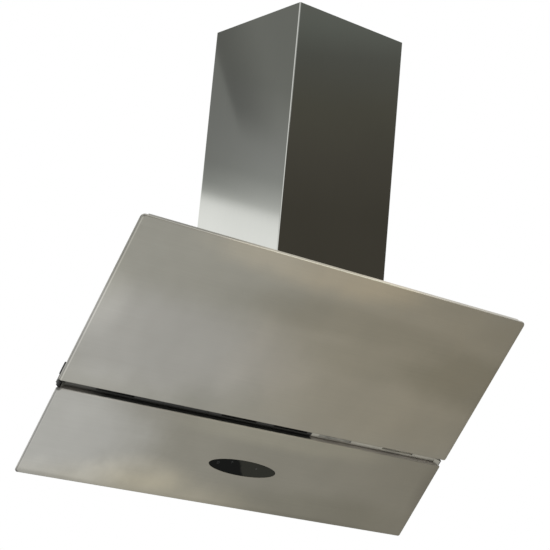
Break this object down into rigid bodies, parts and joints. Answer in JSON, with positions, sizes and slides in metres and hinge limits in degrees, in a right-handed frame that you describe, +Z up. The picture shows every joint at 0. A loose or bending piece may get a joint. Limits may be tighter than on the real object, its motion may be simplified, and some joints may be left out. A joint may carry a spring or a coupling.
{
  "type": "chimney range hood",
  "caption": "Inclined wall-mounted range hood with tilted steel panels, a touch control window and a square duct chimney; the upper panel opens to the filters and fan.",
  "frame": {"origin": "centre of the body back plate's rear face, which stands on the wall", "axes": "+Z up, +Y into the wall, +X to the cook's right, in metres"},
  "size_m": [0.9, 0.3108, 0.8885],
  "materials": {
    "panel_steel": "satin, finely brushed across",
    "cover_steel": "polished stainless steel",
    "galvanised": "galvanised sheet steel",
    "black_paint": "satin black paint on steel",
    "zinc_plate": "bright zinc plate",
    "aluminium": "mill finish",
    "black_plastic": "moulded black",
    "grey_plastic": "moulded grey",
    "dark_glass": "polished, dark printed back",
    "board": "green solder mask",
    "diffuser": "frosted, unlit"
  },
  "bodies": {
    "hood": {"body_shell": "galvanised", "hanger_plate_left": "zinc_plate", "hanger_plate_right": "zinc_plate", "terminal_box": "grey_plastic", "capacitor": "aluminium", "lower_panel": "panel_steel", "control_window": "dark_glass", "touch_board": "board", "control_housing": "black_plastic", "slot_rail": "black_paint", "filter_seat": "galvanised", "rail_bracket_left": "galvanised", "rail_bracket_right": "galvanised", "panel_catch_left": "black_plastic", "panel_catch_right": "black_plastic", "lamp_lens_left": "diffuser", "lamp_lens_right": "diffuser", "lamp_body_left": "black_plastic", "lamp_body_right": "black_plastic", "hinge_bracket_left": "zinc_plate", "hinge_bracket_right": "zinc_plate", "hinge_pin_left": "zinc_plate", "hinge_pin_right": "zinc_plate", "lower_bracket_left": "galvanised", "lower_bracket_right": "galvanised", "filter_frame_left": "aluminium", "filter_frame_right": "aluminium", "filter_mesh_left": "aluminium", "filter_mesh_right": "aluminium", "hinge_screw_1": "zinc_plate", "hinge_screw_2": "zinc_plate", "hinge_screw_3": "zinc_plate", "hinge_screw_4": "zinc_plate", "fan_box": "galvanised", "scroll_housing_left": "grey_plastic", "scroll_housing_right": "grey_plastic", "motor": "zinc_plate", "motor_yoke": "zinc_plate", "outlet_collar": "grey_plastic", "flap_pin": "zinc_plate", "cable_gland": "black_plastic", "fan_box_screw_1": "zinc_plate", "fan_box_screw_2": "zinc_plate", "duct_cover_lower": "cover_steel", "cover_bracket_lower": "zinc_plate", "cover_bracket_upper": "zinc_plate"},
    "front_panel": {"upper_panel": "panel_steel", "hinge_leaf_left": "zinc_plate", "hinge_leaf_right": "zinc_plate", "panel_strike_left": "zinc_plate", "panel_strike_right": "zinc_plate"},
    "fan_wheel": {"wheel_disc": "black_plastic", "wheel_cage_left": "black_plastic", "wheel_cage_right": "black_plastic", "motor_shaft": "zinc_plate"},
    "flap_front": {"backdraft_flap_front": "black_plastic"},
    "flap_back": {"backdraft_flap_back": "black_plastic"},
    "upper_cover": {"duct_cover_upper": "cover_steel"},
    "latch_left": {"filter_latch_left": "black_plastic"},
    "latch_right": {"filter_latch_right": "black_plastic"}
  },
  "joints": [
    {"name": "upper_panel_hinge", "type": "hinge", "parent": "hood", "child": "front_panel", "pos_m": [0, -0.29182, 0.18228], "axis": [-1, 0, 0], "range_deg": [0, 80]},
    {"name": "fan_spin", "type": "hinge", "parent": "hood", "child": "fan_wheel", "pos_m": [0, -0.145, 0.282], "axis": [1, 0, 0], "continuous": true},
    {"name": "backdraft_flap_front_hinge", "type": "hinge", "parent": "hood", "child": "flap_front", "pos_m": [0, -0.102, 0.41655], "axis": [-1, 0, 0], "range_deg": [0, 75]},
    {"name": "backdraft_flap_back_hinge", "type": "hinge", "parent": "hood", "child": "flap_back", "pos_m": [0, -0.102, 0.41655], "axis": [1, 0, 0], "range_deg": [0, 75]},
    {"name": "duct_cover_slide", "type": "slide", "parent": "hood", "child": "upper_cover", "axis": [0, 0, 1], "range_m": [0, 0.3]},
    {"name": "filter_latch_left_slide", "type": "slide", "parent": "hood", "child": "latch_left", "axis": [0, -0.6032, 0.7976], "range_m": [0, 0.008], "stiffness_N_per_m": 400, "springref_m": -0.004},
    {"name": "filter_latch_right_slide", "type": "slide", "parent": "hood", "child": "latch_right", "axis": [0, -0.6032, 0.7976], "range_m": [0, 0.008], "stiffness_N_per_m": 400, "springref_m": -0.004}
  ]
}
